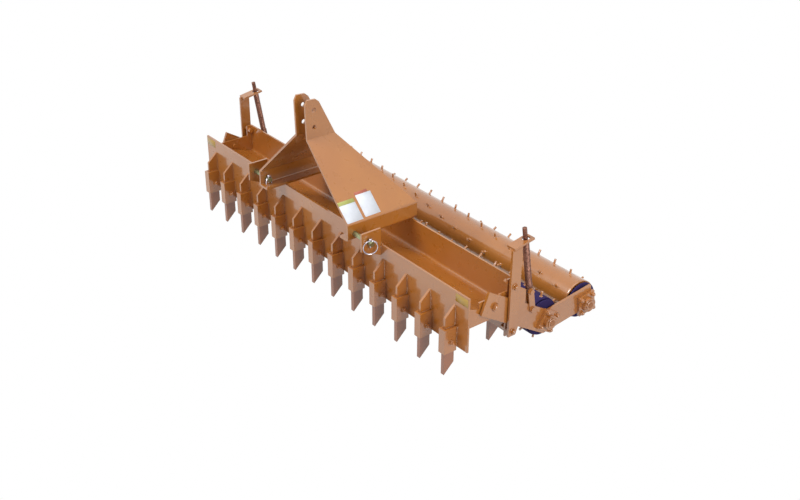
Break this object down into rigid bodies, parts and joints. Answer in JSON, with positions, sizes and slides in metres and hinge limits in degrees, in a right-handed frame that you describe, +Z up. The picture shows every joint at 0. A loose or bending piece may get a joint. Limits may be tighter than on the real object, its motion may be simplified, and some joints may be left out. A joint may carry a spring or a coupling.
{
  "type": "soil pulverizer",
  "caption": "Hitch-mounted soil pulverizer with a toothed front plate, a rear blade with more teeth and two spiked rollers in a frame set in height by screws.",
  "frame": {"origin": "on the floor, under the middle of the machine", "axes": "+X to the right of the machine, along its width; +Y to its rear; +Z up"},
  "size_m": [2.07, 0.8758, 0.908],
  "materials": {
    "tan_paint": "glossy tan-orange enamel",
    "purple_paint": "glossy purple enamel",
    "dark_steel": "oiled bare steel",
    "zinc_plate": "yellow-passivated zinc plate"
  },
  "bodies": {
    "main_frame": {"frame_cheek_left": "tan_paint", "frame_cheek_right": "tan_paint", "front_plate": "tan_paint", "front_teeth": "tan_paint", "front_tooth_pockets": "tan_paint", "hitch_ear_left": "tan_paint", "hitch_ear_right": "tan_paint", "hitch_side_left": "tan_paint", "hitch_side_right": "tan_paint", "link_plate_left": "tan_paint", "link_plate_right": "tan_paint", "lower_pin_left": "zinc_plate", "lower_pin_right": "zinc_plate", "pivot_pin_left": "tan_paint", "pivot_pin_right": "tan_paint", "post_bolts_left": "tan_paint", "post_bolts_right": "tan_paint", "post_cap_left": "tan_paint", "post_cap_right": "tan_paint", "post_left": "tan_paint", "post_right": "tan_paint", "rear_blade": "tan_paint", "rear_teeth": "tan_paint", "rear_tooth_pockets": "tan_paint", "shank_gussets": "tan_paint", "trough_plate": "tan_paint"},
    "roller_frame": {"front_roller_bearing_left": "tan_paint", "front_roller_bearing_right": "tan_paint", "rear_roller_bearing_left": "tan_paint", "rear_roller_bearing_right": "tan_paint", "screw_straps_left": "tan_paint", "screw_straps_right": "tan_paint", "side_arm_left": "tan_paint", "side_arm_right": "tan_paint"},
    "front_roller": {"front_roller_axle": "dark_steel", "front_roller_discs": "purple_paint", "front_roller_drum": "purple_paint"},
    "rear_roller": {"rear_roller_axle": "dark_steel", "rear_roller_discs": "purple_paint", "rear_roller_drum": "tan_paint"},
    "screw_right": {"height_screw_right": "dark_steel"},
    "screw_left": {"height_screw_left": "dark_steel"}
  },
  "joints": [
    {"name": "roller_frame_hinge", "type": "hinge", "parent": "main_frame", "child": "roller_frame", "pos_m": [0, -0.19787, 0.285], "axis": [1, 0, 0], "range_deg": [-3, 14]},
    {"name": "front_roller_spin", "type": "hinge", "parent": "roller_frame", "child": "front_roller", "pos_m": [0, 0.10212, 0.10715], "axis": [1, 0, 0], "continuous": true},
    {"name": "rear_roller_spin", "type": "hinge", "parent": "roller_frame", "child": "rear_roller", "pos_m": [0, 0.33072, 0.10715], "axis": [1, 0, 0], "continuous": true},
    {"name": "screw_right_slide", "type": "slide", "parent": "main_frame", "child": "screw_right", "axis": [0, -0.1607, 0.987], "range_m": [-0.0104, 0.0474]},
    {"name": "screw_left_slide", "type": "slide", "parent": "main_frame", "child": "screw_left", "axis": [0, -0.1607, 0.987], "range_m": [-0.0104, 0.0474]}
  ],
  "couplings": [
    {"joint": "screw_right_slide", "follows": "roller_frame_hinge", "m_per_rad": 0.19241},
    {"joint": "screw_left_slide", "follows": "roller_frame_hinge", "m_per_rad": 0.19241}
  ]
}
